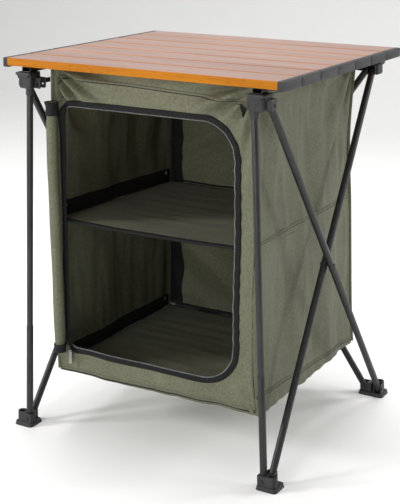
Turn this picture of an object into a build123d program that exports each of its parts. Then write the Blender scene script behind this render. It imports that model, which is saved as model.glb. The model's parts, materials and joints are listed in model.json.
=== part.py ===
from build123d import *
from math import atan, cos, degrees, hypot, sin
import os

# Folding camp kitchen cabinet, in millimetres. Origin on the ground under the middle
# of the table, +Z up, the zipped opening faces -Y and the slats run along X.

# ---- driving dimensions ----
table_width = 600.0
table_top_z = 770.0
slat_count = 7
slat_gap = 2.5
table_overhang = 13.5
slat_height = 15.0
slat_wall = 1.6
slat_edge_radius = 2.5
cap_length = 10.0
cap_drop = 3.0
cap_plug_length = 14.0
cord_diameter = 4.0
cord_inset = 120.0

rail_width = 20.0
rail_height = 10.0
rail_wall = 1.5
rail_overhang = 8.0
bracket_thickness = 4.7
bracket_lip = 2.4
bracket_lip_drop = 4.0

hub_inset = 50.0
leg_splay = 34.0
hub_pin_drop = 11.3
foot_pin_height = 17.0
side_ear_reach = 12.0
back_ear_reach = 19.0
side_plane_offset = 7.8

pole_diameter = 14.0
pole_wall = 1.2
pole_plug = 16.0
cross_gap = 0.8
pin_diameter = 5.0
pin_clearance = 0.05
open_pivot_play = 1.7
end_play = 2.0
rivet_head_diameter = 7.6
rivet_head_height = 1.4
rivet_head_taper = 30.0

ear_play = 0.3
ear_cheek = 2.0
ear_tip = 7.0
hub_body_width = 28.0
hub_body_drop = 9.0
hub_chamfer = 2.5
hub_collar_wall = 1.5
hub_collar_length = 12.0
flange_width = 33.0
flange_thickness = 6.0
flange_sink = 1.0
flange_edge_radius = 4.0

foot_base_height = 8.0
foot_base_margin = 3.5
foot_base_taper = 2.0
foot_corner_radius = 7.0
foot_top_height = 29.0
socket_wall = 3.0
socket_offset_x = 11.0
socket_offset_y = 6.0

upright_diameter = 12.6
upright_wall = 1.0
upright_inset_x = 7.0
upright_inset_y = 6.0
spare_ear_inset = 3.0
upright_play = 0.1
upright_lower_top = 225.0
upright_upper_bottom = 40.0

cabinet_side_gap = 14.0
cabinet_end_gap = 34.0
cabinet_top_gap = 4.0
cabinet_height = 627.0
cloth = 3.0
floor_rise = 12.0
shelf_rise = 308.0

door_margin_left = 30.0
door_margin_right = 39.0
door_margin_bottom = 53.0
door_margin_top = 70.0
door_corner_left = 18.0
door_corner_right = 70.0
zip_width = 11.0
zip_thickness = 2.0
slider_length = 12.0
slider_width = 9.0
slider_thickness = 4.0
slider_inset = 7.0
lug_thickness = 1.2
pull_length = 28.0
pull_width = 7.0
pull_thickness = 1.6
pull_eye_radius = 2.2
pull_pin_radius = 1.1

roll_diameter = 26.0
roll_core_diameter = 8.0
roll_inset = 16.0
roll_overhang = 6.0
tape_wrap = 1.0
top_wrap_height = 28.0
bottom_wrap_height = 20.0

webbing_width = 30.0
webbing_thickness = 1.5
webbing_end = 12.0
strap_height = 9.0
strap_side_gap = 3.0

clearance = 0.3
contact_gap = 0.1
cut_past = 1.0

# ---- derived sizes ----
slat_bottom_z = table_top_z - slat_height
slat_length = table_width - 2 * cap_length
rail_bottom_z = slat_bottom_z - clearance - rail_height
bracket_bottom_z = rail_bottom_z - bracket_thickness
flange_top_z = bracket_bottom_z - clearance
flange_bottom_z = flange_top_z - flange_thickness
hub_pin_z = flange_bottom_z - hub_pin_drop
lean = atan(leg_splay / hub_pin_z)
hub_pin_height = hypot(leg_splay, hub_pin_z)
hub_body_bottom = hub_pin_height - hub_body_drop
hub_half_x = table_width / 2 - hub_inset
foot_half_x = hub_half_x + leg_splay
# all the crossed poles are equally long, which sets the depth of the frame
leg_half_y = (hub_half_x + foot_half_x) / 2 - (back_ear_reach - side_ear_reach)
slat_pitch = (2 * (leg_half_y + table_overhang) + slat_gap) / slat_count
slat_depth = slat_pitch - slat_gap
slat_bore = (slat_depth - 2 * slat_wall, slat_height - 2 * slat_wall)
slat_bore_radius = slat_edge_radius - slat_wall / 2
pole_radius = pole_diameter / 2
cross_offset = (pole_diameter + cross_gap) / 2
pin_radius = pin_diameter / 2
slot_half = pole_radius + ear_play
ear_half = slot_half + ear_cheek
head_seat = rivet_head_height + clearance
upright_top = hub_pin_height + pole_radius
socket_radius = pole_radius + socket_wall
spare_ear_offset = cross_offset + spare_ear_inset
half_width = hub_half_x - rail_width / 2 - cabinet_side_gap
half_depth = leg_half_y - cabinet_end_gap
cabinet_top_z = slat_bottom_z - cabinet_top_gap
cabinet_bottom_z = cabinet_top_z - cabinet_height
floor_z = cabinet_bottom_z + floor_rise
shelf_z = floor_z + shelf_rise
door_left = -half_width + door_margin_left
door_right = half_width - door_margin_right
door_bottom = cabinet_bottom_z + door_margin_bottom
door_top = cabinet_top_z - door_margin_top
roll_x = -half_width + roll_inset
roll_y = -half_depth - zip_thickness - clearance - roll_diameter / 2

LEFT, RIGHT, FRONT, BACK = -1, 1, -1, 1
BOTH_ENDS = (-1, 1)
side_name = {LEFT: "left", RIGHT: "right"}
end_name = {FRONT: "front", BACK: "back"}


def leg_x(side, height):
    """X of the leaning leg axis at a height measured along the leg."""
    return side * (foot_half_x - height * sin(lean))


def leg_plane(side, end, height):
    """Plane square to a leg at a height along it, with +x to the right and +y to the back."""
    origin = (leg_x(side, height), end * leg_half_y, height * cos(lean))
    return Plane(origin, x_dir=(cos(lean), 0, side * sin(lean)), z_dir=(-side * sin(lean), 0, cos(lean)))


def leg_point(side, end, height, x=0.0, y=0.0):
    """A point beside a leg, in the table's frame."""
    return leg_plane(side, end, height).from_local_coords(Vector(x, y, 0))


def save(piece, name):
    piece.part.label = name
    os.makedirs("parts", exist_ok=True)
    export_step(piece.part, f"parts/{name}.step")


# ---- table top ----
def slat_y(number):
    return (number - (slat_count - 1) / 2) * slat_pitch


def cord_runs(number):
    """The middles and the length of the two elastic cords in a slat: they end inside the outer slats."""
    low = slat_y(max(number - 0.5, 0))
    high = slat_y(min(number + 0.5, slat_count - 1))
    mid_z = table_top_z - slat_height / 2
    middles = [(side * (slat_length / 2 - cord_inset), (low + high) / 2, mid_z) for side in (LEFT, RIGHT)]
    return middles, high - low


def make_slat(number):
    """A hollow aluminium slat, open at its ends for the cap plugs."""
    end_middle = (-slat_length / 2, slat_y(number), table_top_z - slat_height / 2)
    with BuildPart() as slat:
        with BuildSketch(Plane(end_middle, x_dir=(0, 1, 0), z_dir=(1, 0, 0))):
            RectangleRounded(slat_depth, slat_height, slat_edge_radius)
            RectangleRounded(*slat_bore, slat_bore_radius, mode=Mode.SUBTRACT)
        extrude(amount=slat_length)
        middles, length = cord_runs(number)
        with Locations(*middles):
            Cylinder(cord_diameter / 2 + clearance, length, rotation=(90, 0, 0), mode=Mode.SUBTRACT)
    save(slat, f"slat_{number + 1}")


def make_slat_fittings(number):
    """The two end caps of a slat and its lengths of the two elastic cords."""
    mid_z = table_top_z - slat_height / 2
    with BuildPart() as fittings:
        for side in (LEFT, RIGHT):
            face = Plane((side * slat_length / 2, slat_y(number), 0), x_dir=(0, side, 0), z_dir=(side, 0, 0))
            with BuildSketch(face):
                with Locations((0, table_top_z - (slat_height + cap_drop) / 2)):
                    RectangleRounded(slat_depth, slat_height + cap_drop, slat_edge_radius)
            extrude(amount=cap_length)
            with BuildSketch(face):
                with Locations((0, mid_z)):
                    RectangleRounded(*slat_bore, slat_bore_radius)
            extrude(amount=-cap_plug_length)
        middles, length = cord_runs(number)
        with Locations(*middles):
            Cylinder(cord_diameter / 2, length, rotation=(90, 0, 0))
    save(fittings, f"slat_{number + 1}_fittings")


def make_rails():
    """Two square tubes that carry the slats from hub to hub."""
    length = 2 * (leg_half_y + rail_overhang)
    with BuildPart() as rails:
        for side in (LEFT, RIGHT):
            end_middle = (leg_x(side, flange_top_z), -length / 2, rail_bottom_z + rail_height / 2)
            with BuildSketch(Plane(end_middle, x_dir=(1, 0, 0), z_dir=(0, 1, 0))):
                RectangleRounded(rail_width, rail_height, 2 * rail_wall)
                RectangleRounded(rail_width - 2 * rail_wall, rail_height - 2 * rail_wall, rail_wall, mode=Mode.SUBTRACT)
            extrude(amount=length)
    save(rails, "top_rails")


def make_brackets():
    """A plate under each rail end, lipped over the two outer edges of the hub flange."""
    outer = flange_width / 2 + clearance + bracket_lip
    plate = outer + flange_width / 2
    shift = plate / 2 - flange_width / 2
    lip_length = flange_width - 2 * flange_edge_radius
    with BuildPart() as brackets:
        for side in (LEFT, RIGHT):
            for end in (FRONT, BACK):
                x, y = leg_x(side, flange_top_z), end * leg_half_y
                with BuildSketch(Plane((x + side * shift, y + end * shift, bracket_bottom_z))):
                    RectangleRounded(plate, plate, flange_edge_radius)
                extrude(amount=bracket_thickness)
                with BuildSketch(Plane((x, y, bracket_bottom_z))):
                    with Locations((side * (outer - bracket_lip / 2), 0)):
                        Rectangle(bracket_lip, lip_length)
                    with Locations((0, end * (outer - bracket_lip / 2))):
                        Rectangle(lip_length, bracket_lip)
                extrude(amount=-bracket_lip_drop)
    save(brackets, "rail_brackets")


# ---- frame ----
def side_offset(side, outer):
    """Local x of a side pole: the two that cross lie side by side, a little outboard."""
    return side * (side_plane_offset + cross_offset * (1 if outer else -1))


def back_offset(end, outer):
    """Local y of a back pole beside the leg axis."""
    return end * cross_offset * (1 if outer else -1)


def is_outer_side(kind, end):
    """The outer side poles run from the front hubs to the back feet."""
    return (end == FRONT) == (kind == "hub")


def is_outer_back(kind, side, end):
    """The outer back pole runs from the left foot to the right hub. Front corners have none."""
    return None if end == FRONT else (side == RIGHT) == (kind == "hub")


def side_pin(side, end, height, outer):
    """Where a side pole is pinned to a hub or foot."""
    return leg_point(side, end, height, side_offset(side, outer), -end * side_ear_reach)


def back_pin(side, height, outer):
    """Where a back pole is pinned to a hub or foot."""
    return leg_point(side, BACK, height, -side * back_ear_reach, back_offset(BACK, outer))


def ear_plan(side, end, outer_side, back_y):
    """The plan of the ears beside a leg, one for each pole."""
    with Locations((side_offset(side, outer_side), -end * (side_ear_reach + ear_tip) / 2)):
        Rectangle(2 * ear_half, side_ear_reach + ear_tip)
    if back_y is not None:
        with Locations((-side * (back_ear_reach + ear_tip) / 2, back_y)):
            Rectangle(back_ear_reach + ear_tip, 2 * ear_half)


def slot_plan(side, end, outer_side, back_y):
    """The plan of the slots that the pole ends swing in, open at the ear tips."""
    behind = pole_radius + end_play
    reach = behind + ear_tip + cut_past
    with Locations((side_offset(side, outer_side), -end * (side_ear_reach - behind + reach / 2))):
        Rectangle(2 * slot_half, reach)
    if back_y is not None:
        with Locations((-side * (back_ear_reach - behind + reach / 2), back_y)):
            Rectangle(reach, 2 * slot_half)


def pin_planes(side, end, height, outer_side, back_y):
    """Planes across the rivets of a hub or foot, each with its normal along the rivet."""
    across = leg_plane(side, end, height).x_dir
    planes = [Plane(side_pin(side, end, height, outer_side), x_dir=(0, 1, 0), z_dir=across)]
    if back_y is not None:
        origin = leg_point(side, end, height, -side * back_ear_reach, back_y)
        planes.append(Plane(origin, x_dir=(0, 0, 1), z_dir=(0, 1, 0)))
    return planes


def socket_plane(side, end, height):
    """Across the empty socket at the outer corner of a foot."""
    origin = leg_point(side, end, height, side * socket_offset_x, end * socket_offset_y)
    leg = leg_plane(side, end, height)
    return Plane(origin, x_dir=leg.x_dir, z_dir=leg.z_dir)


def upright_plane(side, height):
    """Across a front upright, which stands a little inboard of the leg axis."""
    origin = leg_point(side, FRONT, height, -side * upright_inset_x, FRONT * upright_inset_y)
    leg = leg_plane(side, FRONT, height)
    return Plane(origin, x_dir=leg.x_dir, z_dir=leg.z_dir)


def upright_rivet_plane(side):
    """Across the rivet that holds an upright in its foot."""
    return Plane(upright_plane(side, foot_pin_height).origin, x_dir=(0, 0, 1), z_dir=(0, 1, 0))


def make_hub(side, end):
    """A moulded hub: flange, body, and ears for a side pole and for a pole across."""
    outer_side = is_outer_side("hub", end)
    # the front hubs have a spare ear on the cabinet side of the upright
    back_y = -end * spare_ear_offset if end == FRONT else back_offset(end, is_outer_back("hub", side, end))
    low = leg_plane(side, end, hub_body_bottom)
    with BuildPart() as hub:
        with BuildSketch(low):
            RectangleRounded(hub_body_width, hub_body_width, flange_edge_radius)
            ear_plan(side, end, outer_side, back_y)
        extrude(amount=hypot(leg_splay, flange_bottom_z) + flange_sink - hub_body_bottom)
        chamfer(hub.faces().sort_by(Axis(low.origin, low.z_dir))[0].edges(), hub_chamfer)
        with BuildSketch(Plane((leg_x(side, flange_top_z), end * leg_half_y, flange_bottom_z))):
            RectangleRounded(flange_width, flange_width, flange_edge_radius)
        extrude(amount=flange_thickness)
        with BuildSketch(leg_plane(side, end, hub_body_bottom - cut_past)):
            slot_plan(side, end, outer_side, back_y)
        extrude(amount=hub_body_drop + pole_radius + end_play + cut_past, mode=Mode.SUBTRACT)
        if end == FRONT:
            collar = upright_plane(side, hub_body_bottom - hub_collar_length)
            bore_length = upright_top - hub_body_bottom + hub_collar_length
            with BuildSketch(collar):
                Circle(upright_diameter / 2 + hub_collar_wall)
            extrude(amount=bore_length + hub_collar_wall)
            with BuildSketch(collar):
                Circle(upright_diameter / 2)
            extrude(amount=bore_length, mode=Mode.SUBTRACT)
        for plane in pin_planes(side, end, hub_pin_height, outer_side, back_y):
            with BuildSketch(plane):
                Circle(pin_radius)
            extrude(amount=ear_half + cut_past, both=True, mode=Mode.SUBTRACT)
            with BuildSketch(plane.offset(ear_half), plane.offset(-ear_half - head_seat)):
                Circle(rivet_head_diameter / 2 + clearance)
            extrude(amount=head_seat, mode=Mode.SUBTRACT)
    save(hub, f"hub_{end_name[end]}_{side_name[side]}")


def foot_base(side, end):
    """Width, depth and middle of a foot's base, from what stands on it."""
    inboard_x = upright_inset_x + ear_half if end == FRONT else back_ear_reach + ear_tip
    side_edge = side_offset(RIGHT, is_outer_side("foot", end)) + ear_half
    outboard_x = max(socket_offset_x + socket_radius, side_edge)
    inboard_y = side_ear_reach + ear_tip
    outboard_y = socket_offset_y + socket_radius
    x = leg_x(side, foot_base_height) + side * (outboard_x - inboard_x) / 2
    y = end * (leg_half_y + (outboard_y - inboard_y) / 2)
    return inboard_x + outboard_x + 2 * foot_base_margin, inboard_y + outboard_y + 2 * foot_base_margin, x, y


def make_foot(side, end):
    """A moulded foot: tapered base, leg socket and an ear for each pole."""
    outer_side = is_outer_side("foot", end)
    outer_back = is_outer_back("foot", side, end)
    back_y = None if outer_back is None else back_offset(end, outer_back)
    width, depth, x, y = foot_base(side, end)
    ear_bottom = foot_base_height - foot_base_taper
    top_size = (width - 2 * foot_base_taper, depth - 2 * foot_base_taper)
    with BuildPart() as foot:
        with BuildSketch(Plane((x, y, 0))):
            RectangleRounded(width, depth, foot_corner_radius)
        with BuildSketch(Plane((x, y, foot_base_height))):
            RectangleRounded(*top_size, foot_corner_radius - foot_base_taper)
        loft()
        with BuildSketch(leg_plane(side, end, ear_bottom)):
            ear_plan(side, end, outer_side, back_y)
            if end == FRONT:
                boss_inner, boss_outer = -upright_inset_x - ear_half, socket_offset_x
                with Locations((side * (boss_inner + boss_outer) / 2, end * upright_inset_y)):
                    Rectangle(boss_outer - boss_inner, 2 * ear_half)
        extrude(amount=foot_top_height - ear_bottom)
        with BuildSketch(socket_plane(side, end, ear_bottom)):
            Circle(socket_radius)
        extrude(amount=foot_top_height - ear_bottom)
        with BuildSketch(leg_plane(side, end, foot_pin_height - pole_radius - end_play)):
            slot_plan(side, end, outer_side, back_y)
        extrude(amount=foot_top_height, mode=Mode.SUBTRACT)
        with BuildSketch(socket_plane(side, end, foot_base_height)):
            Circle(pole_radius)
        extrude(amount=foot_top_height, mode=Mode.SUBTRACT)
        for plane in pin_planes(side, end, foot_pin_height, outer_side, back_y):
            with BuildSketch(plane):
                Circle(pin_radius)
            extrude(amount=ear_half + cut_past, both=True, mode=Mode.SUBTRACT)
        if end == FRONT:
            with BuildSketch(upright_plane(side, foot_base_height)):
                Circle(pole_radius)
            extrude(amount=foot_top_height, mode=Mode.SUBTRACT)
            with BuildSketch(upright_rivet_plane(side)):
                Circle(pin_radius)
            extrude(amount=ear_half + cut_past, both=True, mode=Mode.SUBTRACT)
    save(foot, f"foot_{end_name[end]}_{side_name[side]}")


def make_rivets(name, places):
    """Rivets, each given by its middle plane, its half length and the ends that have a domed head."""
    with BuildPart() as rivets:
        for plane, half_length, ways in places:
            with BuildSketch(plane):
                Circle(pin_radius)
            extrude(amount=half_length, both=True)
            for way in ways:
                seat = plane.origin + plane.z_dir * (way * half_length)
                with BuildSketch(Plane(seat, x_dir=plane.x_dir, z_dir=plane.z_dir * way)):
                    Circle(rivet_head_diameter / 2)
                extrude(amount=rivet_head_height, taper=rivet_head_taper)
    save(rivets, name)


def make_corner_rivets(kind, side, end):
    """The rivets of one hub or foot, one for each pole or upright that ends there."""
    height = hub_pin_height if kind == "hub" else foot_pin_height
    outer_back = is_outer_back(kind, side, end)
    back_y = None if outer_back is None else back_offset(end, outer_back)
    planes = pin_planes(side, end, height, is_outer_side(kind, end), back_y)
    places = [(plane, ear_half, BOTH_ENDS) for plane in planes]
    if kind == "foot" and end == FRONT:
        places.append((upright_rivet_plane(side), ear_half, (FRONT,)))
    make_rivets(f"{kind}_{end_name[end]}_{side_name[side]}_rivets", places)


def make_pole(name, top, bottom, pin_axis, crossing, top_play):
    """A steel tube with closed round ends, drilled for its end rivets and the crossing rivet."""
    along = (top - bottom).normalized()
    length = (top - bottom).length
    bore = pole_radius - pole_wall
    with BuildPart() as pole:
        with BuildSketch(Plane((top + bottom) / 2, x_dir=along, z_dir=pin_axis)):
            SlotCenterToCenter(length, pole_diameter)
            with Locations((0, -pole_radius)):
                Rectangle(length + 2 * pole_diameter, pole_diameter, mode=Mode.SUBTRACT)
            with Locations((0, bore / 2)):
                Rectangle(length - 2 * pole_plug, bore, mode=Mode.SUBTRACT)
        revolve(axis=Axis(bottom, along))
        for point, play in ((top, top_play), (bottom, pin_clearance), (crossing, pin_clearance)):
            with BuildSketch(Plane(point, x_dir=along, z_dir=pin_axis)):
                Circle(pin_radius + play)
            extrude(amount=pole_diameter, both=True, mode=Mode.SUBTRACT)
    save(pole, name)


def make_side_scissor(side):
    """The two poles of one side, crossed and riveted at the middle of their length."""
    outer_top = side_pin(side, FRONT, hub_pin_height, True)
    outer_bottom = side_pin(side, BACK, foot_pin_height, True)
    inner_top = side_pin(side, BACK, hub_pin_height, False)
    inner_bottom = side_pin(side, FRONT, foot_pin_height, False)
    axis = leg_plane(side, FRONT, 0).x_dir
    name = side_name[side]
    make_pole(f"{name}_pole_outer", outer_top, outer_bottom, axis, (outer_top + outer_bottom) / 2, pin_clearance)
    make_pole(f"{name}_pole_inner", inner_top, inner_bottom, axis, (inner_top + inner_bottom) / 2, pin_clearance)
    middle = (outer_top + outer_bottom + inner_top + inner_bottom) / 4
    cross = Plane(middle, x_dir=(outer_top - outer_bottom).normalized(), z_dir=axis)
    make_rivets(f"{name}_cross_rivet", [(cross, cross_offset + pole_radius, BOTH_ENDS)])


def make_back_scissor():
    """The two poles across the back, crossed above their middle because the legs splay."""
    axis = Vector(0, 1, 0)
    outer_top = back_pin(RIGHT, hub_pin_height, True)
    outer_bottom = back_pin(LEFT, foot_pin_height, True)
    inner_top = back_pin(LEFT, hub_pin_height, False)
    inner_bottom = back_pin(RIGHT, foot_pin_height, False)
    share = outer_bottom.X / (outer_bottom.X - outer_top.X)
    outer_cross = outer_bottom + (outer_top - outer_bottom) * share
    inner_cross = inner_bottom + (inner_top - inner_bottom) * share
    # the back hubs are carried by the side poles, so both back poles end in slack holes at the top
    make_pole("back_pole_outer", outer_top, outer_bottom, axis, outer_cross, open_pivot_play)
    make_pole("back_pole_inner", inner_top, inner_bottom, axis, inner_cross, open_pivot_play)
    middle = (outer_cross + inner_cross) / 2
    cross = Plane(middle, x_dir=(outer_top - outer_bottom).normalized(), z_dir=axis)
    make_rivets("back_cross_rivet", [(cross, cross_offset + pole_radius, BOTH_ENDS)])


def make_upright(side):
    """A front upright: the upper tube slides in the lower one as the frame folds."""
    with BuildPart() as lower:
        with BuildSketch(upright_plane(side, foot_base_height)):
            Circle(pole_radius)
            Circle(upright_diameter / 2 + upright_play, mode=Mode.SUBTRACT)
        extrude(amount=upright_lower_top - foot_base_height)
        with BuildSketch(upright_rivet_plane(side)):
            Circle(pin_radius)
        extrude(amount=pole_diameter, both=True, mode=Mode.SUBTRACT)
    save(lower, f"upright_lower_{side_name[side]}")
    with BuildPart() as upper:
        with BuildSketch(upright_plane(side, upright_upper_bottom)):
            Circle(upright_diameter / 2)
            Circle(upright_diameter / 2 - upright_wall, mode=Mode.SUBTRACT)
        extrude(amount=upright_top - upright_upper_bottom)
    save(upper, f"upright_upper_{side_name[side]}")


# ---- fabric cabinet ----
def door_outline(grow):
    """The door opening's outline, x across and y up, grown outwards by a margin."""
    with BuildSketch(Plane.XY) as outline:
        with Locations(((door_left + door_right) / 2, (door_bottom + door_top) / 2)):
            Rectangle(door_right - door_left + 2 * grow, door_top - door_bottom + 2 * grow)
        fillet(outline.vertices().sort_by(Axis.X)[:2], door_corner_left + grow)
        fillet(outline.vertices().sort_by(Axis.X)[-2:], door_corner_right + grow)
    return outline.sketch


def make_front_wall():
    hole = door_outline(0)
    with BuildPart() as wall:
        with BuildSketch(Plane.XZ.offset(half_depth - cloth)):
            with Locations((0, (cabinet_bottom_z + cabinet_top_z) / 2)):
                Rectangle(2 * half_width, cabinet_height)
            add(hole, mode=Mode.SUBTRACT)
        extrude(amount=cloth)
    save(wall, "front_wall")


def make_zip_tape():
    hole, edge = door_outline(0), door_outline(zip_width)
    with BuildPart() as tape:
        with BuildSketch(Plane.XZ.offset(half_depth)):
            add(edge)
            add(hole, mode=Mode.SUBTRACT)
        extrude(amount=zip_thickness)
    save(tape, "zip_tape")


def make_panel(name, low, high):
    """A flat piece of cloth between two corners."""
    with BuildPart() as panel:
        with BuildSketch(Plane(((low[0] + high[0]) / 2, (low[1] + high[1]) / 2, low[2]))):
            Rectangle(high[0] - low[0], high[1] - low[1])
        extrude(amount=high[2] - low[2])
    save(panel, name)


def make_walls():
    reach = half_depth - cloth - clearance
    for side in (LEFT, RIGHT):
        inner, outer = sorted((side * half_width, side * (half_width - cloth)))
        make_panel(f"{side_name[side]}_wall", (inner, -reach, cabinet_bottom_z), (outer, reach, cabinet_top_z))
    low = (-half_width, half_depth - cloth, cabinet_bottom_z)
    make_panel("back_wall", low, (half_width, half_depth, cabinet_top_z))


def make_shelves():
    """The cloth floor and the middle shelf, inside the walls and the webbing."""
    x = half_width - cloth - clearance
    front = -half_depth + cloth + clearance
    back = half_depth - cloth - webbing_thickness - clearance
    for name, z in (("floor", floor_z), ("shelf", shelf_z)):
        make_panel(name, (-x, front, z - cloth), (x, back, z))


def make_side_webbing(side):
    """Bands inside a side wall at shelf and floor level, and the two short straps to the hubs."""
    x = side * (half_width - cloth - webbing_thickness / 2)
    length = 2 * (half_depth - cloth - webbing_thickness - webbing_end)
    strap_z = flange_bottom_z - clearance - strap_height
    # the straps run from the cabinet's upright edges to the ears of the hubs, past the side poles' ears
    edge_y = half_depth + contact_gap + webbing_thickness / 2
    hub_x = hub_half_x + side_plane_offset - cross_offset - ear_half - strap_side_gap
    ear_offset = {FRONT: spare_ear_offset, BACK: cross_offset}
    with BuildPart() as webbing:
        for z in (floor_z, shelf_z):
            with BuildSketch(Plane((x, 0, z + clearance))):
                Rectangle(webbing_thickness, length)
            extrude(amount=webbing_width)
        for end in (FRONT, BACK):
            hub_y = leg_half_y - ear_offset[end] - ear_half - contact_gap - webbing_thickness / 2
            wall_end = Vector(side * (half_width - cloth), end * edge_y, strap_z)
            hub_end = Vector(side * hub_x, end * hub_y, strap_z)
            run = hub_end - wall_end
            with BuildSketch(Plane((wall_end + hub_end) / 2, x_dir=run.normalized(), z_dir=(0, 0, 1))):
                Rectangle(run.length, webbing_thickness)
            extrude(amount=strap_height)
    save(webbing, f"{side_name[side]}_webbing")


def make_back_webbing():
    """A band down each back corner, from the top hem to the floor."""
    with BuildPart() as webbing:
        for side in (LEFT, RIGHT):
            x = side * (half_width - cloth - webbing_thickness - clearance - webbing_width / 2)
            y = half_depth - cloth - webbing_thickness / 2
            with BuildSketch(Plane((x, y, floor_z + clearance))):
                Rectangle(webbing_width, webbing_thickness)
            extrude(amount=cabinet_top_z - floor_z - webbing_width)
    save(webbing, "back_webbing")


def make_door_roll():
    """The door panel rolled up beside its opening, and the black tape wound round both its ends."""
    low = door_bottom - roll_overhang
    height = door_top - door_bottom + 2 * roll_overhang
    with BuildPart() as roll:
        with BuildSketch(Plane((roll_x, roll_y, low))):
            Circle(roll_diameter / 2 - tape_wrap)
            Circle(roll_core_diameter / 2, mode=Mode.SUBTRACT)
        extrude(amount=height)
    save(roll, "door_roll")
    with BuildPart() as tapes:
        for z, tall in ((low, bottom_wrap_height), (low + height - top_wrap_height, top_wrap_height)):
            with BuildSketch(Plane((roll_x, roll_y, z))):
                Circle(roll_diameter / 2)
                Circle(roll_diameter / 2 - tape_wrap, mode=Mode.SUBTRACT)
            extrude(amount=tall)
    save(tapes, "door_roll_tapes")


def make_slider():
    """The zip slider with two lugs and a cross pin, and the pull that hangs from it."""
    x = door_left + slider_inset
    z = door_bottom - zip_width / 2
    face_y = -half_depth - zip_thickness - clearance
    pin_y = face_y - slider_thickness - pull_eye_radius - clearance
    pin_z = z + slider_width / 2 - pull_eye_radius
    lug_root = face_y - slider_thickness / 2
    lug_start = pull_width / 2 + clearance
    with BuildPart() as slider:
        with BuildSketch(Plane((x, face_y, z), x_dir=(1, 0, 0), z_dir=(0, -1, 0))):
            RectangleRounded(slider_length, slider_width, slider_width / 4)
        extrude(amount=slider_thickness)
        for side in (LEFT, RIGHT):
            with BuildSketch(Plane((x + side * lug_start, pin_y, pin_z), x_dir=(0, 1, 0), z_dir=(side, 0, 0))):
                with Locations(((lug_root - pin_y) / 2, 0)):
                    Rectangle(lug_root - pin_y, 2 * pull_eye_radius)
                Circle(pull_eye_radius)
            extrude(amount=lug_thickness)
        with BuildSketch(Plane((x, pin_y, pin_z), x_dir=(0, 1, 0), z_dir=(1, 0, 0))):
            Circle(pull_pin_radius)
        extrude(amount=lug_start + lug_thickness, both=True)
    save(slider, "zip_slider")
    with BuildPart() as pull:
        with BuildSketch(Plane((x, pin_y, pin_z), x_dir=(0, 1, 0), z_dir=(1, 0, 0))):
            Circle(pull_eye_radius)
            with Locations((0, -pull_length / 2)):
                Rectangle(pull_thickness, pull_length)
            Circle(pull_pin_radius + pin_clearance, mode=Mode.SUBTRACT)
        extrude(amount=pull_width / 2, both=True)
    save(pull, "zip_pull")


for number in range(slat_count):
    make_slat(number)
    make_slat_fittings(number)
make_rails()
make_brackets()
for side in (LEFT, RIGHT):
    for end in (FRONT, BACK):
        make_hub(side, end)
        make_foot(side, end)
        make_corner_rivets("hub", side, end)
        make_corner_rivets("foot", side, end)
    make_side_scissor(side)
    make_upright(side)
    make_side_webbing(side)
make_back_scissor()
make_front_wall()
make_zip_tape()
make_walls()
make_shelves()
make_back_webbing()
make_door_roll()
make_slider()
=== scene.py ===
"""Dresses the folding camp cabinet with its cloth, laminate, tubes and fittings, in a small studio."""

import json
import math

import bmesh
import bpy
import numpy as np
from mathutils import Matrix, Vector, noise
from mathutils.bvhtree import BVHTree


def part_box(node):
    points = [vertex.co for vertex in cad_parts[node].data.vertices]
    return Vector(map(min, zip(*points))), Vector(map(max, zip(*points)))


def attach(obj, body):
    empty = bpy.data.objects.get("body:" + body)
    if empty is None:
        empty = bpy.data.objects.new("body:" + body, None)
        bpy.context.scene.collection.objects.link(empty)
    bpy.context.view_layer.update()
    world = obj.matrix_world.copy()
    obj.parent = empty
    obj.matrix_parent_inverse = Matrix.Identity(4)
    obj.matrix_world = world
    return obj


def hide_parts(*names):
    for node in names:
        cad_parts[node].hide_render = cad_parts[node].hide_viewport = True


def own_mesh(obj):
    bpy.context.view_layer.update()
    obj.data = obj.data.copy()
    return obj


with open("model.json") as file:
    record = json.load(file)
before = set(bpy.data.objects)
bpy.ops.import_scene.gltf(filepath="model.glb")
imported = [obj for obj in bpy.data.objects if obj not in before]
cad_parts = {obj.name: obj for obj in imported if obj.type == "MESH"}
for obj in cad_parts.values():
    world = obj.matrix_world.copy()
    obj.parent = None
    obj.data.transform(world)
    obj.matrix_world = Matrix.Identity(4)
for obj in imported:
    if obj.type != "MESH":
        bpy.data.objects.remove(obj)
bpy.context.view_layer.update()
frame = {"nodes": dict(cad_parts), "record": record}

# ---- places and sizes, in metres, read from the frame where it has them ----
LEFT, RIGHT, FRONT, BACK = -1, 1, -1, 1
side_name = {LEFT: "left", RIGHT: "right"}
end_name = {FRONT: "front", BACK: "back"}
wall_low, wall_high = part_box("front_wall")
half_width = wall_high.x
half_depth = -wall_low.y
cabinet_bottom, cabinet_top = wall_low.z, wall_high.z
tape_low, tape_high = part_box("zip_tape")
zip_width = 0.011
webbing_width = 0.030
door_left, door_right = tape_low.x + zip_width, tape_high.x - zip_width
door_bottom, door_top = tape_low.z + zip_width, tape_high.z - zip_width
door_corner = {LEFT: 0.018, RIGHT: 0.070}
shelf_low, shelf_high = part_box("shelf")
floor_low, floor_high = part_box("floor")
roll_low, roll_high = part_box("door_roll_tapes")
cloth_thickness = 0.0014
tape_thickness = 0.0009
webbing_thickness = 0.0013
webbing_lift = -0.0012
wall_inset = 0.0012
seam_width = 0.004
band_step = 0.006
stitch_pitch, stitch_length = 0.0042, 0.0028
thread_radius = 0.00035

UP = Vector((0, 0, 1))
OUTWARD = {
    "front": Vector((0, -1, 0)),
    "back": Vector((0, 1, 0)),
    "left": Vector((-1, 0, 0)),
    "right": Vector((1, 0, 0)),
}

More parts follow.
